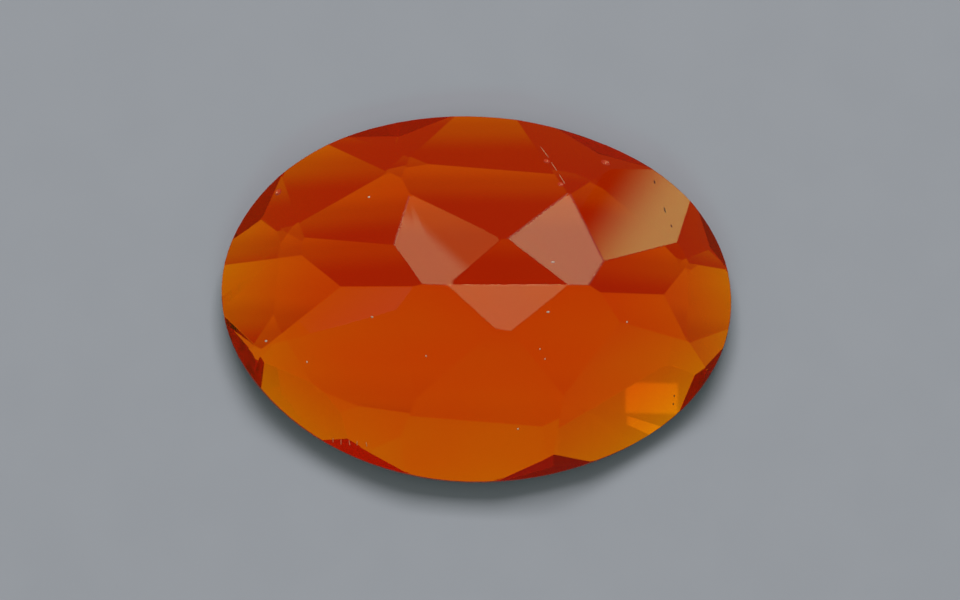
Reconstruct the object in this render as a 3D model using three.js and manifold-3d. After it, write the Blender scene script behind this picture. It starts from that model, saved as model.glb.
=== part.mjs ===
// A faceted oval fire opal, lying on its table with its keel up.
// Millimetres, +Z up. The origin is the middle of the stone's box on the surface it rests on.
// X runs along the stone, and so does the short ridge at the top of its keel.
import * as THREE from "three";
import { mergeVertices } from "three/addons/utils/BufferGeometryUtils.js";
import Module from "manifold-3d";

const wasm = await Module();
wasm.setup();

// Driving dimensions of the rough, which is an oval slab
const LENGTH = 7.0;
const WIDTH = 5.04;
const OUTLINE_TURN = -2.5; // degrees that the oval is askew to the keel
const OUTLINE_SIDES = 96;

// How hand grinding left the oval uneven: waves round it, each with its height as a share of the
// radius and the place of its first crest in radians
const UNEVENNESS = [
  { waves: 3, height: 0.0058, crest: 0.31 },
  { waves: 5, height: 0.0031, crest: -0.474 },
];

// Heights, measured from the upper edge of the girdle
const KEEL_HEIGHT = 2.0;
const GIRDLE_THICKNESS = 0.16;
const CROWN_HEIGHT = 0.38;
const TABLE_DEPTH = GIRDLE_THICKNESS + CROWN_HEIGHT;

// Points where facets meet on the keel, from the middle of the girdle
const KEEL_WEST = [-0.4, -0.02, KEEL_HEIGHT];
const KEEL_EAST = [1.26, -0.02, KEEL_HEIGHT];
const WEST_SHOULDER = [-0.85, -0.03, 1.89];
const EAST_SHOULDER = [1.69, -0.11, 1.86];

// Facets round the keel. Each is ground through a meet point, at an index, which is the compass
// angle its face looks to from +X, and an angle from the girdle plane, both in degrees.
const KEEL_FACETS = [
  { index: 90, angle: 25.5, meet: KEEL_WEST },
  { index: 270, angle: 23, meet: KEEL_WEST },
  { index: 103.5, angle: 34, meet: KEEL_WEST },
  { index: 251.5, angle: 36, meet: KEEL_WEST },
  { index: 75.5, angle: 36, meet: KEEL_EAST },
  { index: 286, angle: 35, meet: KEEL_EAST },
  { index: 135, angle: 32.5, meet: WEST_SHOULDER },
  { index: 224.5, angle: 34.5, meet: WEST_SHOULDER },
  { index: 24.5, angle: 40.5, meet: EAST_SHOULDER },
  { index: 343, angle: 40, meet: EAST_SHOULDER },
];

// Main facets of the keel side, ground down to the girdle. dip is how far below the girdle's
// upper edge a face would leave the stone at its lowest point.
const MAIN_FACETS = [
  { index: 90.5, angle: 43, dip: 0.06 },
  { index: 119.5, angle: 40, dip: 0.01 },
  { index: 179.5, angle: 40, dip: -0.04 },
  { index: 239.5, angle: 40.5, dip: 0.02 },
  { index: 266, angle: 42, dip: 0.01 },
  { index: 302, angle: 50.5, dip: 0.15 },
  { index: 0, angle: 51.5, dip: 0.01 },
  { index: 56.5, angle: 47, dip: 0.03 },
];

// Steeper wedges between the mains
const WEDGE_FACETS = [
  { index: 104, angle: 46.5, dip: 0.09 },
  { index: 151, angle: 44.5, dip: 0.02 },
  { index: 72, angle: 51, dip: 0.1 },
  { index: 27.5, angle: 57.5, dip: 0.04 },
  { index: 344, angle: 56.5, dip: -0.03 },
];

// Pairs of short steep facets at the rim, between two places round the oval, in degrees of the
// oval's own parameter. inner is the place, in X and Y, up to which both cut into the stone. The
// ridge between the two stands out from one flat facet in their place by RIM_RIDGE at the edge.
const RIM_RIDGE = 0.04;
const RIM_PAIRS = [
  { from: 96.5, to: 122, inner: [-1.09, 2.15] },
  { from: 141.5, to: 163.5, inner: [-2.9, 1.04] },
  { from: 192, to: 210.5, inner: [-3.03, -0.71] },
  { from: 236.5, to: 256, inner: [-1.39, -2.09] },
  { from: 276.5, to: 299, inner: [0.93, -2.26] },
  { from: 332.5, to: 341, inner: [3.15, -1.07] },
  { from: 12, to: 33, inner: [3.08, 0.72] },
  { from: 48, to: 74.5, inner: [1.7, 1.92] },
];

// The crown, which is the side that the stone lies on: eight bezels round the table, with a star
// and a short steep half between each two, under a pair of rim facets. place is where a facet
// meets the girdle, in degrees of the oval's parameter.
const BEZELS = [
  { place: 85, angle: 20 },
  { place: 131, angle: 20 },
  { place: 177, angle: 20 },
  { place: 224, angle: 25 },
  { place: 267, angle: 18 },
  { place: 312, angle: 19 },
  { place: 360, angle: 20 },
  { place: 42, angle: 20 },
];
const HALF_ANGLE = 34;
const HALF_RISE = 0.04; // how far a half starts above the girdle's lower edge
const STAR_ANGLE = 12.5;
const STAR_INSET = 0.98; // how far inside the girdle a star meets the table

const CUTTER_SIZE = 20;
const MERGE_TOLERANCE = 1e-5;

const radians = THREE.MathUtils.degToRad;

// A point of the girdle at a place round the oval, with the unevenness of hand grinding
function outlinePoint(place, height = 0) {
  const t = radians(place);
  const uneven = UNEVENNESS.reduce(
    (radius, { waves, height: swell, crest }) => radius + swell * Math.cos(waves * (t - crest)),
    1,
  );
  return new THREE.Vector3(
    (LENGTH / 2) * Math.cos(t) * uneven,
    (WIDTH / 2) * Math.sin(t) * uneven,
    height,
  ).applyAxisAngle(new THREE.Vector3(0, 0, 1), radians(OUTLINE_TURN));
}

const outline = Array.from({ length: OUTLINE_SIDES }, (_, k) =>
  outlinePoint((360 * k) / OUTLINE_SIDES),
);

// The plane of a facet through a point. It looks up on the keel side, and down on the crown.
function facet(index, angle, point, side = 1) {
  const lean = Math.sin(radians(angle));
  const normal = new THREE.Vector3(
    lean * Math.cos(radians(index)),
    lean * Math.sin(radians(index)),
    side * Math.cos(radians(angle)),
  );
  return new THREE.Plane().setFromNormalAndCoplanarPoint(normal, point);
}

function facetThroughThree(a, b, c) {
  const plane = new THREE.Plane().setFromCoplanarPoints(a, b, c);
  return plane.normal.dot(a) < 0 ? plane.negate() : plane;
}

// The point straight over a place on the surface that facets leave, which is the lowest of their
// planes there
function surfacePoint(facets, { x, y }) {
  const heights = facets.map(
    ({ normal, constant }) => -(normal.x * x + normal.y * y + constant) / normal.z,
  );
  return new THREE.Vector3(x, y, Math.min(...heights));
}

// The point of the oval that lies furthest out towards an index
function furthestOut(index) {
  const way = new THREE.Vector3(Math.cos(radians(index)), Math.sin(radians(index)), 0);
  return outline.reduce((best, point) => (point.dot(way) > best.dot(way) ? point : best));
}

// The compass angle that the plain oval's edge looks to at a place round it
function outwardIndex(place) {
  const t = radians(place);
  const way = Math.atan2(Math.sin(t) / WIDTH, Math.cos(t) / LENGTH);
  return THREE.MathUtils.radToDeg(way) + OUTLINE_TURN;
}

function solidFrom(geometry) {
  const plain = geometry.clone();
  plain.deleteAttribute("normal");
  plain.deleteAttribute("uv");
  const merged = mergeVertices(plain, MERGE_TOLERANCE);
  return new wasm.Manifold(
    new wasm.Mesh({
      numProp: 3,
      vertProperties: new Float32Array(merged.attributes.position.array),
      triVerts: new Uint32Array(merged.index.array),
    }),
  );
}

function geometryFrom(solid) {
  const { vertProperties, triVerts } = solid.getMesh();
  const geometry = new THREE.BufferGeometry();
  geometry.setAttribute("position", new THREE.BufferAttribute(vertProperties, 3));
  geometry.setIndex(new THREE.BufferAttribute(triVerts, 1));
  geometry.computeVertexNormals();
  return geometry;
}

// Grinds one flat facet: takes away all that lies past its plane
function grind(solid, plane) {
  const cutter = new THREE.BoxGeometry(CUTTER_SIZE, CUTTER_SIZE, CUTTER_SIZE);
  cutter.translate(0, 0, CUTTER_SIZE / 2);
  cutter.applyQuaternion(
    new THREE.Quaternion().setFromUnitVectors(new THREE.Vector3(0, 0, 1), plane.normal),
  );
  const onPlane = plane.coplanarPoint(new THREE.Vector3());
  cutter.translate(onPlane.x, onPlane.y, onPlane.z);
  return solid.subtract(solidFrom(cutter));
}

// The rough: the oval slab, as high as the keel and as deep as the table
function roughSlab() {
  const shape = new THREE.Shape(outline.map((point) => new THREE.Vector2(point.x, point.y)));
  const slab = new THREE.ExtrudeGeometry(shape, {
    depth: KEEL_HEIGHT + TABLE_DEPTH,
    bevelEnabled: false,
  });
  slab.translate(0, 0, -TABLE_DEPTH);
  return solidFrom(slab);
}

function keelSideFacets() {
  const long = [...MAIN_FACETS, ...WEDGE_FACETS].map(({ index, angle, dip }) =>
    facet(index, angle, furthestOut(index).clone().setZ(-dip)),
  );
  const top = KEEL_FACETS.map(({ index, angle, meet }) =>
    facet(index, angle, new THREE.Vector3(...meet)),
  );
  const rim = RIM_PAIRS.flatMap(({ from, to, inner }) => {
    const places = [new THREE.Vector2(...inner), outlinePoint(from), outlinePoint(to)];
    const [reach, start, end] = places.map((place) => surfacePoint([...long, ...top], place));
    const flat = facetThroughThree(reach, start, end);
    const ridge = surfacePoint([flat], outlinePoint((from + to) / 2));
    ridge.z += RIM_RIDGE;
    return [facetThroughThree(reach, start, ridge), facetThroughThree(reach, ridge, end)];
  });
  return [...long, ...top, ...rim];
}

function crownFacets() {
  const bezels = BEZELS.map(({ place, angle }) =>
    facet(outwardIndex(place), angle, outlinePoint(place, -GIRDLE_THICKNESS), -1),
  );
  const between = RIM_PAIRS.flatMap(({ from, to }) => {
    const place = (from + to) / 2;
    const halfEdge = outlinePoint(place, HALF_RISE - GIRDLE_THICKNESS);
    const starEdge = outlinePoint(place);
    starEdge.setLength(starEdge.length() - STAR_INSET).setZ(-TABLE_DEPTH);
    return [
      facet(outwardIndex(place), HALF_ANGLE, halfEdge, -1),
      facet(outwardIndex(place), STAR_ANGLE, starEdge, -1),
    ];
  });
  return [...bezels, ...between];
}

const ground = [...keelSideFacets(), ...crownFacets()].reduce(grind, roughSlab());
const stone = geometryFrom(ground);
stone.computeBoundingBox();
const middle = stone.boundingBox.getCenter(new THREE.Vector3());

const fireOpal = new THREE.Mesh(
  stone,
  new THREE.MeshStandardMaterial({ color: 0xc24a08, roughness: 0.08, metalness: 0 }),
);
fireOpal.name = "fire_opal";
fireOpal.position.set(-middle.x, -middle.y, TABLE_DEPTH);

const part = new THREE.Group();
part.add(fireOpal);

export default part;
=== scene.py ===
"""The looks of a small faceted fire opal that lies on its table facet with its keel up.

The stone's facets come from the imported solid. This script copies them, wears their edges, chips
them, polishes and colours the stone, and lights it softly on a plain pale floor. All sizes are in
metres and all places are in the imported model's own frame: X along the stone, Z up from the floor.
Places on the facets are given as pixels of the reference photograph, which is 960 by 600.
"""

import logging
import math
from collections.abc import Callable
from dataclasses import dataclass, field
from enum import Enum

import bmesh
import bpy
from mathutils import Matrix, Vector


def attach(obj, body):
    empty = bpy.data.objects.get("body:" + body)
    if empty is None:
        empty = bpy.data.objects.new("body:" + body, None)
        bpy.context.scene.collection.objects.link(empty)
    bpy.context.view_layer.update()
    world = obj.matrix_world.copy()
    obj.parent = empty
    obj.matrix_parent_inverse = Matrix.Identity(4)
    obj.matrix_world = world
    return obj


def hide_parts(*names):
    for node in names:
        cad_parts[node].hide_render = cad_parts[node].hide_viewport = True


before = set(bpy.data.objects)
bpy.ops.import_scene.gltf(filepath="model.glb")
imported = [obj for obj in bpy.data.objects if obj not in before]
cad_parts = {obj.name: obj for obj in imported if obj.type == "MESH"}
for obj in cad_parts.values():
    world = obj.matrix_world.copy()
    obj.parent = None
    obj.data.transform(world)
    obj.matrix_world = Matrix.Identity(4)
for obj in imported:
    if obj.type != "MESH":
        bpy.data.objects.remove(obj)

log = logging.getLogger("fire_opal")

MM = 0.001
STONE_NODE = "fire_opal"
ROOT_BODY = "root"

# Where in soft noise, which goes from 0 to 1, a patch begins and where it is full
PATCH_START = 0.3
PATCH_FULL = 0.7

# How long the marks on the polish are across, and how far they stand out
DUST_WIDTH = 0.03 * MM
DUST_THICKNESS = 0.005 * MM
DIRT_WIDTH = 0.02 * MM
SCRATCH_WIDTH = 0.011 * MM
FLAT_MARK_THICKNESS = 0.003 * MM
DIRT_LEAN = 0.25  # of its length, to the right at its lower end

# How often light may cross the stone or be reflected in it
MOST_CROSSINGS = 16
MOST_REFLECTIONS = 12

Colour = tuple[float, float, float]
Pixel = tuple[float, float]


class Surface(Enum):
    """Which finish a face of the stone has, by its place among the stone's materials."""

    POLISHED = 0
    WORN = 1


class MarkKind(Enum):
    """What a small mark on the polish is."""

    DUST = "dust"
    DIRT = "dirt"
    SCRATCH = "scratch"


def direction(azimuth: float, elevation: float) -> Vector:
    """Works out the unit vector towards a place in the sky.

    Args:
        azimuth: Degrees round from +X, towards +Y.
        elevation: Degrees above the floor.

    Returns:
        The unit vector.
    """
    around, up = math.radians(azimuth), math.radians(elevation)
    return Vector((math.cos(around) * math.cos(up), math.sin(around) * math.cos(up), math.sin(up)))


def deselect_everything() -> None:
    """Leaves object mode with nothing selected."""
    if bpy.context.object is not None and bpy.context.object.mode != "OBJECT":
        bpy.ops.object.mode_set(mode="OBJECT")
    bpy.ops.object.select_all(action="DESELECT")


def take_up(piece: bpy.types.Object) -> None:
    """Makes a piece the only selected object, and the active one."""
    deselect_everything()
    piece.select_set(True)
    bpy.context.view_layer.objects.active = piece


def join(pieces: list[bpy.types.Object], name: str) -> bpy.types.Object:
    """Joins pieces into one.

    Args:
        pieces: The pieces, which the first of them takes in.
        name: The name of the joined piece.

    Returns:
        The joined piece.
    """
    take_up(pieces[0])
    for piece in pieces[1:]:
        piece.select_set(True)
    bpy.ops.object.join()
    pieces[0].name = name
    return pieces[0]


@dataclass(frozen=True)
class Stop:
    """A colour at a place along a gradient."""

    at: float
    colour: Colour


@dataclass(frozen=True)
class Wiring:
    """One material's shader and the nodes that drive it."""

    material: bpy.types.Material
    shader: bpy.types.Node
    output: bpy.types.Node

    @classmethod
    def start(cls, name: str, shader_type: str = "ShaderNodeBsdfPrincipled") -> "Wiring":
        """Starts a material.

        Args:
            name: The material's name.
            shader_type: The kind of its surface shader.

        Returns:
            The wiring, with the shader joined to the material's output.
        """
        material = bpy.data.materials.new(name)
        material.use_nodes = True
        tree = material.node_tree
        tree.nodes.clear()
        shader = tree.nodes.new(shader_type)
        output = tree.nodes.new("ShaderNodeOutputMaterial")
        tree.links.new(shader.outputs[0], output.inputs["Surface"])
        return cls(material, shader, output)

    def feed(self, node: bpy.types.Node, **inputs: object) -> bpy.types.Node:
        """Sets a node's inputs, each to a plain value or to another node's output.

        Args:
            node: The node.
            inputs: The inputs by name, with spaces written as underscores.

        Returns:
            The node.
        """
        for name, value in inputs.items():
            socket = node.inputs[name.replace("_", " ")]
            if isinstance(value, bpy.types.NodeSocket):
                self.material.node_tree.links.new(value, socket)
            else:
                socket.default_value = value
        return node

    def place(self) -> bpy.types.NodeSocket:
        """Gives the place on the object, in metres."""
        return self.material.node_tree.nodes.new("ShaderNodeTexCoord").outputs["Object"]

    def noise(self, scale: float, detail: float = 2.0) -> bpy.types.NodeSocket:
        """Gives soft noise from 0 to 1 over the object.

        Args:
            scale: How many blobs there are in a metre.
            detail: How many finer layers lie over them.

        Returns:
            The noise.
        """
        node = self.material.node_tree.nodes.new("ShaderNodeTexNoise")
        return self.feed(node, Vector=self.place(), Scale=scale, Detail=detail).outputs[0]

    def patches(self, per_metre: float) -> bpy.types.NodeSocket:
        """Gives patches with soft edges, 0 outside them and 1 in them."""
        return self.ramp(self.noise(per_metre), PATCH_START, PATCH_FULL)

    def ramp(
        self,
        value: bpy.types.NodeSocket,
        start: float,
        end: float,
        low: float = 0.0,
        high: float = 1.0,
    ) -> bpy.types.NodeSocket:
        """Turns a value into a smooth step.

        Args:
            value: The value.
            start: Where the step begins.
            end: Where the step ends.
            low: The result at its beginning.
            high: The result at its end.

        Returns:
            The result.
        """
        node = self.material.node_tree.nodes.new("ShaderNodeMapRange")
        node.interpolation_type = "SMOOTHSTEP"
        node = self.feed(node, Value=value, From_Min=start, From_Max=end, To_Min=low, To_Max=high)
        return node.outputs[0]

    def along(self, way: Vector) -> bpy.types.NodeSocket:
        """Gives how far along a way from the origin the place on the object is, in metres."""
        return self.combine("DOT_PRODUCT", self.place(), way).outputs["Value"]

    def combine(self, operation: str, value: bpy.types.NodeSocket, other: Vector) -> bpy.types.Node:
        """Makes a node that combines a vector output with a fixed vector."""
        node = self.material.node_tree.nodes.new("ShaderNodeVectorMath")
        node.operation = operation
        node.inputs[1].default_value = other
        self.material.node_tree.links.new(value, node.inputs[0])
        return node

    def distance(self) -> bpy.types.NodeSocket:
        """Gives how far from the origin the place on the object is, in metres."""
        return self.combine("DISTANCE", self.place(), Vector()).outputs["Value"]

    def box_distance(self, centre: Vector, flatness: float) -> bpy.types.NodeSocket:
        """Gives the half length of the flat box round a centre that reaches a place.

        Args:
            centre: The centre.
            flatness: How many times longer along X than along Y the box is.

        Returns:
            The half length along X, in metres.
        """
        nodes, links = self.material.node_tree.nodes, self.material.node_tree.links
        offset = self.combine("SUBTRACT", self.place(), centre).outputs["Vector"]
        scaled = self.combine("MULTIPLY", offset, Vector((1, flatness, 1))).outputs["Vector"]
        sides = nodes.new("ShaderNodeSeparateXYZ")
        links.new(scaled, sides.inputs[0])
        furthest = nodes.new("ShaderNodeMath")
        furthest.operation = "MAXIMUM"
        links.new(self.size_of(sides.outputs["X"]), furthest.inputs[0])
        links.new(self.size_of(sides.outputs["Y"]), furthest.inputs[1])
        return furthest.outputs[0]

    def size_of(self, value: bpy.types.NodeSocket) -> bpy.types.NodeSocket:
        """Gives a value without its sign."""
        node = self.material.node_tree.nodes.new("ShaderNodeMath")
        node.operation = "ABSOLUTE"
        self.material.node_tree.links.new(value, node.inputs[0])
        return node.outputs[0]

    def stops(self, value: bpy.types.NodeSocket, stops: tuple[Stop, ...]) -> bpy.types.NodeSocket:
        """Turns a value into a colour, smoothly from stop to stop.

        Args:
            value: The value.
            stops: Two or more stops, the lowest first.

        Returns:
            The colour.
        """
        colour = stops[0].colour
        for before, after in zip(stops, stops[1:]):
            colour = self.blend(self.ramp(value, before.at, after.at), colour, after.colour)
        return colour

    def blend(self, share: bpy.types.NodeSocket, first: object, second: object) -> bpy.types.NodeSocket:
        """Blends two colours.

        Args:
            share: How much of the second there is, from 0 to 1.
            first: A colour or another node's output.
            second: A colour or another node's output.

        Returns:
            The blended colour.
        """
        node = self.material.node_tree.nodes.new("ShaderNodeMix")
        node.data_type = "RGBA"
        ends = [end if isinstance(end, bpy.types.NodeSocket) else (*end, 1) for end in (first, second)]
        return self.feed(node, Factor=share, A=ends[0], B=ends[1]).outputs["Result"]


@dataclass(frozen=True)
class OpalFinish:
    """The see-through body of the stone: orange, redder in clouds and yellower at the ends."""

    name: str = "fire_opal_body"
    ior: float = 1.45
    transmission: float = 0.95
    reflected_tint: Colour = (1.0, 0.88, 0.5)
    red_cloud: Colour = (1.0, 0.25, 0.0)
    pale_cloud: Colour = (1.0, 0.31, 0.0)
    end_colour: Colour = (1.0, 0.38, 0.0)
    clouds_per_metre: float = 420.0
    ends_start: float = 1.6 * MM
    ends_full: float = 3.4 * MM
    absorbed: Colour = (0.985, 0.6875, 0.0)
    absorption_density: float = 1600.0
    smoothest: float = 0.02
    dullest: float = 0.045
    polish_marks_per_metre: float = 2600.0
    polish_layers: float = 4.0
    dulling_start: float = 0.35
    dulling_full: float = 0.75

    def material(self) -> bpy.types.Material:
        """Makes the stone's material.

        Returns:
            The material.
        """
        wiring = Wiring.start(self.name)
        clouds = wiring.patches(self.clouds_per_metre)
        body = wiring.blend(clouds, self.red_cloud, self.pale_cloud)
        from_middle = wiring.size_of(wiring.along(Vector((1, 0, 0))))
        ends = wiring.ramp(from_middle, self.ends_start, self.ends_full)
        polish = wiring.noise(self.polish_marks_per_metre, self.polish_layers)
        dulling = (self.dulling_start, self.dulling_full)
        wiring.feed(
            wiring.shader,
            Base_Color=wiring.blend(ends, body, self.end_colour),
            Roughness=wiring.ramp(polish, *dulling, self.smoothest, self.dullest),
            IOR=self.ior,
            Transmission_Weight=self.transmission,
            Specular_Tint=(*self.reflected_tint, 1),
        )
        self._fill(wiring)
        return wiring.material

    def _fill(self, wiring: Wiring) -> None:
        """Gives the stone's inside its absorption."""
        inside = wiring.material.node_tree.nodes.new("ShaderNodeVolumeAbsorption")
        wiring.feed(inside, Color=(*self.absorbed, 1), Density=self.absorption_density)
        wiring.feed(wiring.output, Volume=inside.outputs["Volume"])


SURFACE_FINISHES = {
    Surface.POLISHED: OpalFinish(),
    Surface.WORN: OpalFinish(
        name="fire_opal_worn",
        transmission=0.88,
        red_cloud=(1.0, 0.46, 0.22),
        pale_cloud=(1.0, 0.56, 0.30),
        end_colour=(1.0, 0.60, 0.30),
        smoothest=0.12,
        dullest=0.3,
        polish_marks_per_metre=9000.0,
    ),
}


@dataclass(frozen=True)
class MarkFinish:
    """A speck's or a scratch's dull colour, a little uneven."""

    colour: Colour
    shade: Colour
    roughness: float = 0.6
    blotches_per_metre: float = 30000.0

    def material(self, name: str) -> bpy.types.Material:
        """Makes the marks' material."""
        wiring = Wiring.start(name)
        blotches = wiring.patches(self.blotches_per_metre)
        wiring.feed(
            wiring.shader,
            Base_Color=wiring.blend(blotches, self.shade, self.colour),
            Roughness=self.roughness,
        )
        return wiring.material


MARK_FINISHES = {
    MarkKind.DUST: MarkFinish(colour=(0.92, 0.80, 0.66), shade=(0.78, 0.52, 0.34)),
    MarkKind.DIRT: MarkFinish(colour=(0.10, 0.03, 0.01), shade=(0.04, 0.01, 0.01)),
    MarkKind.SCRATCH: MarkFinish(colour=(0.86, 0.50, 0.28), shade=(0.70, 0.30, 0.12), roughness=0.4),
}


@dataclass(frozen=True)
class FloorFinish:
    """Plain pale grey card."""

    colour: Colour = (0.537, 0.553, 0.605)
    mottle: Colour = (0.527, 0.543, 0.595)
    mottles_per_metre: float = 900.0
    roughness: float = 0.9

    def material(self) -> bpy.types.Material:
        """Makes the floor's material."""
        wiring = Wiring.start("pale_card")
        mottles = wiring.patches(self.mottles_per_metre)
        wiring.feed(
            wiring.shader,
            Base_Color=wiring.blend(mottles, self.colour, self.mottle),
            Roughness=self.roughness,
            Specular_IOR_Level=0.0,
        )
        return wiring.material


@dataclass(frozen=True)
class PhotoCamera:
    """The camera at the photo's viewing angle."""

    azimuth: float = 270.0
    elevation: float = 84.5
    distance: float = 0.25
    frame_pixels: tuple[int, int] = (960, 600)
    stone_pixels: float = 510.0
    stone_length: float = 7.0 * MM
    stone_centre: Pixel = (476.4, 298.5)
    girdle_height: float = 0.54 * MM
    sensor: float = 36.0
    nearest: float = 2.5 * MM

    @property
    def back(self) -> Vector:
        """The way from the stone to the camera."""
        return direction(self.azimuth, self.elevation)

    @property
    def up(self) -> Vector:
        """The way in the scene that is up in the picture."""
        return self.back.cross(Vector((1, 0, 0)))

    @property
    def target(self) -> Vector:
        """The middle of the girdle's upper edge."""
        return Vector((0, 0, self.girdle_height))

    def build(self) -> bpy.types.Object:
        """Makes the camera and gives it to the scene.

        Returns:
            The camera's object.
        """
        width, height = self.frame_pixels
        seen_width = self.stone_length * width / self.stone_pixels
        lens = bpy.data.cameras.new("photo_camera")
        lens.sensor_width = self.sensor
        lens.lens = self.sensor * self.distance / seen_width
        lens.shift_x = (width / 2 - self.stone_centre[0]) / width
        lens.shift_y = (self.stone_centre[1] - height / 2) / width
        lens.clip_start = self.nearest
        camera = bpy.data.objects.new("photo_camera", lens)
        camera.location = self.target + self.back * self.distance
        camera.rotation_euler = self.back.to_track_quat("Z", "Y").to_euler()
        bpy.context.scene.collection.objects.link(camera)
        bpy.context.scene.camera = camera
        return camera

    def seen_point(self, stone: bpy.types.Object, pixel: Pixel) -> tuple[Vector, Vector]:
        """Finds the point of the stone that the photo shows at a pixel.

        Args:
            stone: The stone.
            pixel: The pixel, from the photo's upper left corner.

        Returns:
            The point and the surface's normal there.
        """
        scale = self.stone_length / self.stone_pixels
        across = (pixel[0] - self.stone_centre[0]) * scale
        upward = (self.stone_centre[1] - pixel[1]) * scale
        aim = self.target + Vector((across, 0, 0)) + self.up * upward
        eye = self.target + self.back * self.distance
        hit, point, normal, _ = stone.ray_cast(eye, (aim - eye).normalized())
        if not hit:
            raise ValueError(f"the stone isn't seen at pixel {pixel}")
        return point, normal

    def pixel_of(self, point: Vector) -> Vector:
        """Works out the pixel of the photo that shows a point."""
        scale = self.stone_length / self.stone_pixels
        offset = point - self.target
        depth = self.distance / (self.distance - offset.dot(self.back))
        right = offset.x * depth / scale
        down = -offset.dot(self.up) * depth / scale
        return Vector((self.stone_centre[0] + right, self.stone_centre[1] + down))


@dataclass(frozen=True)
class Chip:
    """A shell-shaped flake that is missing from an edge."""

    pixel: Pixel
    radius: float
    depth: float = 0.016 * MM
    ball_detail: int = 3

    def cutter(self, stone: bpy.types.Object, camera: PhotoCamera) -> bpy.types.Object:
        """Makes the ball that scoops the flake out.

        Args:
            stone: The stone.
            camera: The camera, for the place of the flake.

        Returns:
            The ball.
        """
        point, _ = camera.seen_point(stone, self.pixel)
        middle = point + camera.back * (self.radius - self.depth)
        deselect_everything()
        bpy.ops.mesh.primitive_ico_sphere_add(
            subdivisions=self.ball_detail, radius=self.radius, location=middle
        )
        return bpy.context.object


@dataclass(frozen=True)
class Mark:
    """A speck or a scratch on the polish, between two pixels of the photo."""

    kind: MarkKind
    start: Pixel
    end: Pixel
    width: float
    thickness: float
    detail: int = 2

    def build(self, stone: bpy.types.Object, camera: PhotoCamera) -> bpy.types.Object:
        """Makes the mark where the photo shows it, flat on its facet.

        Args:
            stone: The stone.
            camera: The camera, for the place of the mark.

        Returns:
            The mark.
        """
        start, normal = camera.seen_point(stone, self.start)
        end, _ = camera.seen_point(stone, self.end)
        along = end - start
        across = normal.cross(along).normalized()
        above = along.cross(across).normalized()
        axes = Matrix((along / 2, across * self.width / 2, above * self.thickness)).transposed()
        deselect_everything()
        bpy.ops.mesh.primitive_ico_sphere_add(subdivisions=self.detail, radius=1.0)
        mark = bpy.context.object
        mark.data.transform(Matrix.Translation((start + end) / 2) @ axes.to_4x4())
        return mark


def dust(x: float, y: float, pixels: float) -> Mark:
    """Makes a speck of dust of a length in pixels at a pixel."""
    ends = ((x - pixels / 2, y), (x + pixels / 2, y))
    return Mark(MarkKind.DUST, *ends, DUST_WIDTH, DUST_THICKNESS)


def dirt(x: float, y: float, pixels: float) -> Mark:
    """Makes an upright pit filled with dirt, of a length in pixels, at a pixel."""
    ends = ((x, y - pixels / 2), (x + pixels * DIRT_LEAN, y + pixels / 2))
    return Mark(MarkKind.DIRT, *ends, DIRT_WIDTH, FLAT_MARK_THICKNESS)


def scratch(start: Pixel, end: Pixel) -> Mark:
    """Makes a fine scratch between two pixels."""
    return Mark(MarkKind.SCRATCH, start, end, SCRATCH_WIDTH, FLAT_MARK_THICKNESS)


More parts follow.
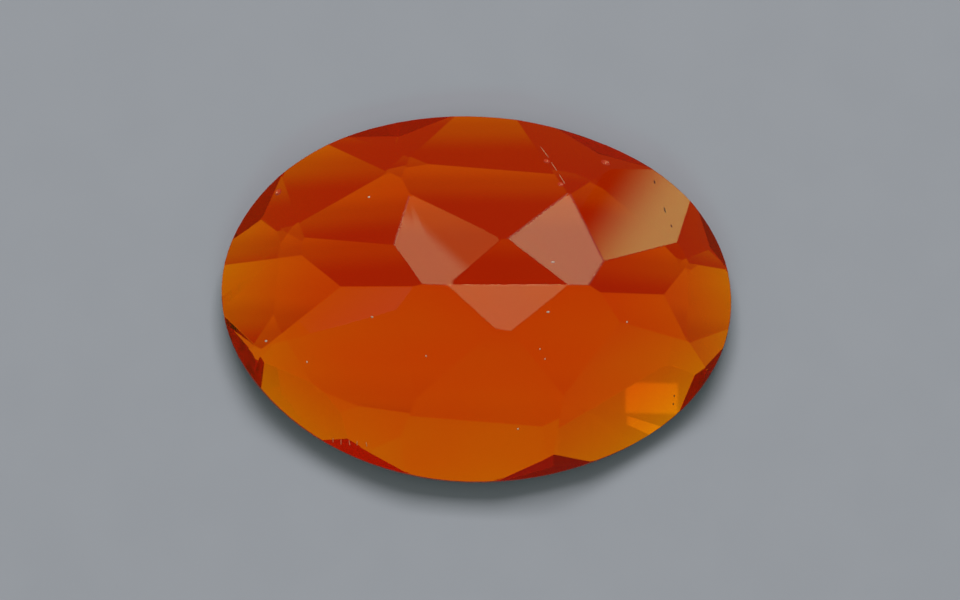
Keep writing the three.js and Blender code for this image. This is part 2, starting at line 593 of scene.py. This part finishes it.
@dataclass
class Stone:
    """The ground stone, with its worn and chipped edges.

    rubbed_edges gives the pixels at both ends of each edge that the photo shows rubbed pale, and
    rubbed_reach is how many pixels off an edge's end may be.
    """

    camera: PhotoCamera
    merge_distance: float = 0.020 * MM
    flat_angle: float = math.radians(0.6)
    worn_angle: float = math.radians(5)
    worn_width: float = 0.006 * MM
    rubbed_width: float = 0.014 * MM
    worn_segments: int = 2
    rubbed_reach: float = 9.0
    rubbed_edges: tuple[tuple[Pixel, Pixel], ...] = (
        ((568, 195), (603, 263)),
        ((603, 263), (588, 285)),
        ((508, 238), (568, 195)),
        ((413, 194), (398, 250)),
        ((338, 287), (427, 285)),
        ((277, 191), (305, 243)),
    )
    chips: tuple[Chip, ...] = (
        Chip((561, 183), 0.05 * MM),
        Chip((547, 160), 0.05 * MM),
        Chip((277, 191), 0.06 * MM),
        Chip((606, 161), 0.07 * MM),
    )

    def build(self) -> bpy.types.Object:
        """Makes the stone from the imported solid's facets.

        Returns:
            The finished piece.
        """
        piece = self._copy_of_solid()
        self._join_facets(piece)
        piece.data.materials.clear()
        for surface in Surface:
            piece.data.materials.append(SURFACE_FINISHES[surface].material())
        self._wear_edges(piece, self.rubbed_width, Surface.WORN, self._is_rubbed)
        self._wear_edges(piece, self.worn_width, Surface.POLISHED, self._is_whole)
        self._chip(piece)
        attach(piece, ROOT_BODY)
        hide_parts(STONE_NODE)
        return piece

    def _copy_of_solid(self) -> bpy.types.Object:
        """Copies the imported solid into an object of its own."""
        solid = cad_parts[STONE_NODE]
        piece = bpy.data.objects.new("opal_stone", solid.data.copy())
        bpy.context.scene.collection.objects.link(piece)
        return piece

    def _join_facets(self, piece: bpy.types.Object) -> None:
        """Merges the loose triangles of the copy, and joins those of one facet to one face."""
        take_up(piece)
        bpy.ops.object.mode_set(mode="EDIT")
        bpy.ops.mesh.select_all(action="SELECT")
        bpy.ops.mesh.remove_doubles(threshold=self.merge_distance)
        bpy.ops.mesh.select_all(action="SELECT")
        bpy.ops.mesh.dissolve_limited(angle_limit=self.flat_angle)
        bpy.ops.object.mode_set(mode="OBJECT")

    def _is_rubbed(self, edge: bmesh.types.BMEdge) -> bool:
        """Tells whether the photo shows an edge as one that is rubbed pale."""
        ends = [self.camera.pixel_of(vertex.co) for vertex in edge.verts]
        for path in self.rubbed_edges:
            for one, other in (path, path[::-1]):
                gaps = ((ends[0] - Vector(one)).length, (ends[1] - Vector(other)).length)
                if max(gaps) < self.rubbed_reach:
                    return True
        return False

    @staticmethod
    def _is_whole(edge: bmesh.types.BMEdge) -> bool:
        """Tells whether both faces at an edge are facets that no wear has touched."""
        return all(face.material_index == Surface.POLISHED.value for face in edge.link_faces)

    def _wear_edges(
        self,
        piece: bpy.types.Object,
        width: float,
        surface: Surface,
        chosen: Callable[[bmesh.types.BMEdge], bool],
    ) -> None:
        """Rounds edges between facets a little, as handling wears a soft stone.

        Args:
            piece: The stone.
            width: How far the wear reaches into each facet.
            surface: The finish of the worn edge.
            chosen: Tells for an edge whether it is worn.
        """
        take_up(piece)
        bpy.ops.object.mode_set(mode="EDIT")
        bpy.ops.mesh.select_mode(type="EDGE")
        bpy.ops.mesh.select_all(action="DESELECT")
        cut = bmesh.from_edit_mesh(piece.data)
        for edge in cut.edges:
            edge.select_set(edge.calc_face_angle(0) > self.worn_angle and chosen(edge))
        bmesh.update_edit_mesh(piece.data)
        bpy.ops.mesh.bevel(
            offset=width, segments=self.worn_segments, affect="EDGES", material=surface.value
        )
        bpy.ops.object.mode_set(mode="OBJECT")

    def _chip(self, piece: bpy.types.Object) -> None:
        """Scoops the missing flakes out of the edges."""
        balls = [chip.cutter(piece, self.camera) for chip in self.chips]
        cutter = join(balls, "chip_cutter")
        cutter.data.materials.append(piece.data.materials[Surface.WORN.value])
        for face in cutter.data.polygons:
            face.use_smooth = True
        take_up(piece)
        scoop = piece.modifiers.new("chips", "BOOLEAN")
        scoop.operation = "DIFFERENCE"
        scoop.solver = "EXACT"
        scoop.material_mode = "TRANSFER"
        scoop.object = cutter
        bpy.ops.object.modifier_apply(modifier=scoop.name)
        bpy.data.objects.remove(cutter)


@dataclass
class Marks:
    """The dust, dirt and scratches that the photo shows on the polish."""

    stone: bpy.types.Object
    camera: PhotoCamera
    marks: tuple[Mark, ...] = (
        dust(369, 197, 2.2),
        dust(553, 262, 3.6),
        dust(372, 317, 2.6),
        dust(548, 312, 3.4),
        dust(266, 341, 2.6),
        dust(307, 362, 1.6),
        dust(518, 429, 2.0),
        dust(627, 322, 1.4),
        dust(540, 349, 1.2),
        dust(545, 359, 1.2),
        dust(426, 356, 1.4),
        dirt(654, 182, 4.0),
        dirt(664, 210, 6.0),
        dirt(671, 226, 3.0),
        dirt(674, 396, 2.0),
        dirt(673, 404, 2.0),
        scratch((540, 146), (549, 158)),
        scratch((551, 162), (557, 171)),
        scratch((559, 174), (565, 184)),
        scratch((333, 438), (333, 443)),
        scratch((341, 439), (341, 445)),
        scratch((349, 440), (350, 446)),
        scratch((357, 441), (357, 446)),
        scratch((366, 442), (367, 447)),
    )

    def build(self) -> list[bpy.types.Object]:
        """Makes all the marks, each kind as one piece.

        Returns:
            The pieces.
        """
        pieces = []
        for kind in MarkKind:
            made = [m.build(self.stone, self.camera) for m in self.marks if m.kind is kind]
            piece = join(made, f"opal_{kind.value}")
            for face in piece.data.polygons:
                face.use_smooth = True
            piece.data.materials.append(MARK_FINISHES[kind].material(f"{kind.value}_mark"))
            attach(piece, ROOT_BODY)
            pieces.append(piece)
        return pieces


@dataclass(frozen=True)
class Panel:
    """A soft studio light: a flat glowing panel that faces the stone.

    Its width and height are angles in degrees, as seen from the stone.
    """

    name: str
    azimuth: float
    elevation: float
    width: float
    height: float
    glow: float
    colour: Colour = (1.0, 1.0, 1.0)
    distance: float = 0.4

    def build(self, target: Vector) -> bpy.types.Object:
        """Sets the panel up.

        Args:
            target: The point that it faces.

        Returns:
            The light.
        """
        light = bpy.data.lights.new(self.name, "AREA")
        light.shape = "RECTANGLE"
        light.size = 2 * self.distance * math.tan(math.radians(self.width / 2))
        light.size_y = 2 * self.distance * math.tan(math.radians(self.height / 2))
        light.energy = self.glow * math.pi * light.size * light.size_y
        light.color = self.colour
        lamp = bpy.data.objects.new(self.name, light)
        away = direction(self.azimuth, self.elevation)
        lamp.location = target + away * self.distance
        lamp.rotation_euler = away.to_track_quat("Z", "Y").to_euler()
        bpy.context.scene.collection.objects.link(lamp)
        return lamp


@dataclass(frozen=True)
class Veil:
    """A small glowing card near the stone, which shows only as a reflection on one facet.

    Its glow changes by stops along a way on it.
    """

    name: str
    facing: tuple[float, float, float]
    azimuth: float
    elevation: float
    distance: float
    width: float
    height: float
    way: tuple[float, float, float]
    stops: tuple[Stop, ...]

    def build(self) -> bpy.types.Object:
        """Sets the card up.

        Returns:
            The card.
        """
        away = direction(self.azimuth, self.elevation)
        deselect_everything()
        bpy.ops.mesh.primitive_plane_add(size=1)
        card = bpy.context.object
        card.name = self.name
        card.data.transform(Matrix.Diagonal((self.width, self.height, 1, 1)))
        card.location = Vector(self.facing) + away * self.distance
        card.rotation_euler = away.to_track_quat("Z", "Y").to_euler()
        wiring = Wiring.start(self.name, "ShaderNodeEmission")
        wiring.feed(wiring.shader, Color=wiring.stops(wiring.along(Vector(self.way)), self.stops))
        card.data.materials.append(wiring.material)
        card.visible_camera = False
        card.visible_diffuse = False
        card.visible_transmission = False
        card.visible_shadow = False
        return card


@dataclass(frozen=True)
class PaintedLightCard:
    """What shows through the stone: a glowing card under it, with painted light and shade.

    The card has painted light at the back, a painted dark red shadow of the stone towards the front,
    painted dark red shade to the right and far out, and a small painted pool of light that lights one
    facet. It shows through the stone alone.
    """

    size: float = 0.2
    depth: float = 3.6 * MM
    # Painted light and shade along the card: a painted dark red shadow of the stone at the front,
    # painted light at the back.
    stops: tuple[Stop, ...] = (
        Stop(-0.32 * MM, (0.38, 0.05, 0.04)),
        Stop(0.07 * MM, (0.44, 0.21, 0.12)),
        Stop(0.40 * MM, (0.53, 0.33, 0.20)),
        Stop(0.90 * MM, (0.56, 0.42, 0.30)),
        Stop(1.60 * MM, (0.56, 0.52, 0.40)),
        Stop(3.40 * MM, (0.56, 0.50, 0.40)),
        Stop(4.40 * MM, (0.75, 0.12, 0.05)),
    )
    # Painted dark red shade to the right.
    side: Colour = (0.46, 0.05, 0.03)
    side_start: float = 1.8 * MM
    side_full: float = 2.3 * MM
    # Painted dark red shade far out.
    outside: Colour = (0.28, 0.05, 0.03)
    # A small painted pool of light that lights one facet.
    painted_pool: Colour = (0.85, 0.75, 0.5)
    # Where the painted light gives way to the painted shade far out.
    painted_light_radius: float = 5.5 * MM
    outside_radius: float = 8.5 * MM
    painted_pool_centre: tuple[float, float, float] = (0.33 * MM, 2.64 * MM, 0.0)
    painted_pool_radius: float = 0.34 * MM
    painted_pool_edge: float = 0.40 * MM
    painted_pool_flatness: float = 1.8

    def build(self) -> bpy.types.Object:
        """Lays the card.

        Returns:
            The card.
        """
        deselect_everything()
        bpy.ops.mesh.primitive_plane_add(size=self.size, location=(0, 0, -self.depth))
        card = bpy.context.object
        card.name = "painted_light_card"
        card.data.materials.append(self._material())
        card.visible_camera = False
        card.visible_diffuse = False
        card.visible_glossy = False
        card.visible_shadow = False
        return card

    def _material(self) -> bpy.types.Material:
        """Makes the card's glow: its painted light and shade."""
        wiring = Wiring.start("painted_light_card", "ShaderNodeEmission")
        # Painted light at the back and a painted shadow of the stone at the front.
        glow = wiring.stops(wiring.along(Vector((0, 1, 0))), self.stops)
        # Painted shade to the right.
        side = wiring.ramp(wiring.along(Vector((1, 0, 0))), self.side_start, self.side_full)
        glow = wiring.blend(side, glow, self.side)
        # Painted shade far out.
        outside = wiring.ramp(wiring.distance(), self.painted_light_radius, self.outside_radius)
        glow = wiring.blend(outside, glow, self.outside)
        # A small painted pool of light.
        from_painted_pool = wiring.box_distance(Vector(self.painted_pool_centre), self.painted_pool_flatness)
        painted_pool = wiring.ramp(from_painted_pool, self.painted_pool_edge, self.painted_pool_radius)
        wiring.feed(wiring.shader, Color=wiring.blend(painted_pool, glow, self.painted_pool))
        return wiring.material


@dataclass(frozen=True)
class GlowDome:
    """The red glow that the rim facets show: a dome of painted red light that is seen through the stone
    alone.
    """

    radius: float = 30 * MM
    detail: int = 4
    # Painted red light, dimmer on the left than on the right.
    left: Colour = (0.20, 0.022, 0.009)
    right: Colour = (0.42, 0.045, 0.016)

    def build(self) -> bpy.types.Object:
        """Sets the dome up.

        Returns:
            The dome.
        """
        deselect_everything()
        bpy.ops.mesh.primitive_ico_sphere_add(subdivisions=self.detail, radius=self.radius)
        dome = bpy.context.object
        dome.name = "glow_dome"
        wiring = Wiring.start("glow_dome", "ShaderNodeEmission")
        # Painted red light, dimmer on the left.
        across = wiring.ramp(wiring.along(Vector((1, 0, 0))), -self.radius / 2, self.radius / 2)
        wiring.feed(wiring.shader, Color=wiring.blend(across, self.left, self.right))
        dome.data.materials.append(wiring.material)
        dome.visible_camera = False
        dome.visible_diffuse = False
        dome.visible_glossy = False
        dome.visible_shadow = False
        return dome


@dataclass
class Studio:
    """The pale floor, the sky light, the panels, and the cards and dome of painted light that show in
    the stone and through it.
    """

    floor_size: float = 0.2
    floor_gap: float = 0.02 * MM
    sky_colour: Colour = (0.06, 0.055, 0.05)
    target: Vector = field(default_factory=lambda: Vector((0, 0, 1.5 * MM)))
    panels: tuple[Panel, ...] = (
        Panel("back_key", 90, 61, 28, 24, 7.4),
        Panel("overhead", 270, 84, 50, 40, 0.5),
        Panel("front_veil", 270, 50, 20, 12, 2.1, (0.4, 1.0, 0.9)),
    )
    veils: tuple[Veil, ...] = (
        Veil(
            name="left_veil",
            facing=(-0.35 * MM, 0.6 * MM, 2.35 * MM),
            azimuth=107.2,
            elevation=24,
            distance=4.0 * MM,
            width=2.0 * MM,
            height=3.0 * MM,
            way=(0.85, 0.53, 0.0),
            stops=(Stop(-0.67 * MM, (1.4, 1.0, 0.45)), Stop(-0.45 * MM, (2.5, 2.8, 2.3))),
        ),
        Veil(
            name="shoulder_veil",
            facing=(-1.6 * MM, -0.28 * MM, 2.1 * MM),
            azimuth=220,
            elevation=25,
            distance=3.0 * MM,
            width=1.8 * MM,
            height=1.8 * MM,
            way=(1.0, 0.0, 0.0),
            stops=(Stop(-0.6 * MM, (0.1, 0.05, 0.1)), Stop(0.6 * MM, (0.2, 0.22, 0.5))),
        ),
        Veil(
            name="right_veil",
            facing=(1.1 * MM, 0.7 * MM, 2.3 * MM),
            azimuth=75,
            elevation=14,
            distance=5.0 * MM,
            width=1.9 * MM,
            height=1.9 * MM,
            way=(1.0, 0.0, 0.0),
            stops=(Stop(-1.0 * MM, (2.0, 3.3, 3.1)), Stop(1.0 * MM, (2.1, 3.4, 3.1))),
        ),
        # A painted reflection that gives one facet its haze.
        Veil(
            name="haze_reflection",
            facing=(2.3 * MM, 1.2 * MM, 1.3 * MM),
            azimuth=58.1,
            elevation=-8.6,
            distance=10.0 * MM,
            width=1.9 * MM,
            height=1.9 * MM,
            way=(1.0, 0.0, 0.0),
            stops=(Stop(-0.15 * MM, (1.9, 3.4, 1.5)), Stop(0.85 * MM, (0.0, 0.0, 0.0))),
        ),
    )

    def build(self) -> None:
        """Lays the floor, lays the card and the dome of painted light, and sets up the lights."""
        self._lay_floor()
        # A card of painted light and shade, and a dome of painted red light, which show only through
        # the stone.
        PaintedLightCard().build()
        GlowDome().build()
        world = bpy.data.worlds.new("sky")
        world.use_nodes = True
        background = world.node_tree.nodes["Background"]
        background.inputs["Color"].default_value = (*self.sky_colour, 1)
        bpy.context.scene.world = world
        for panel in self.panels:
            panel.build(self.target)
        for veil in self.veils:
            veil.build()
        log.info("the studio has %d panels and %d veils", len(self.panels), len(self.veils))

    def _lay_floor(self) -> None:
        """Lays the floor, which shows neither through the stone nor as a reflection in it."""
        deselect_everything()
        bpy.ops.mesh.primitive_plane_add(size=self.floor_size, location=(0, 0, -self.floor_gap))
        floor = bpy.context.object
        floor.name = "floor"
        floor.data.materials.append(FloorFinish().material())
        floor.visible_transmission = False
        floor.visible_glossy = False


def set_up_light_paths() -> None:
    """Lets light cross the stone often enough, and smooths the grain of the render."""
    cycles = bpy.context.scene.cycles
    cycles.max_bounces = MOST_CROSSINGS
    cycles.transmission_bounces = MOST_CROSSINGS
    cycles.glossy_bounces = MOST_REFLECTIONS
    cycles.caustics_refractive = False
    cycles.use_denoising = True
    bpy.context.scene.view_settings.view_transform = "Standard"


def main() -> None:
    """Builds the camera, the stone, its marks and the studio."""
    logging.basicConfig(level=logging.INFO)
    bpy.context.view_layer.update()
    camera = PhotoCamera()
    camera.build()
    stone = Stone(camera).build()
    marks = Marks(stone, camera).build()
    for piece in (stone, *marks):
        log.info("piece %s has %d faces", piece.name, len(piece.data.polygons))
    Studio().build()
    set_up_light_paths()


if __name__ == "__main__":
    main()
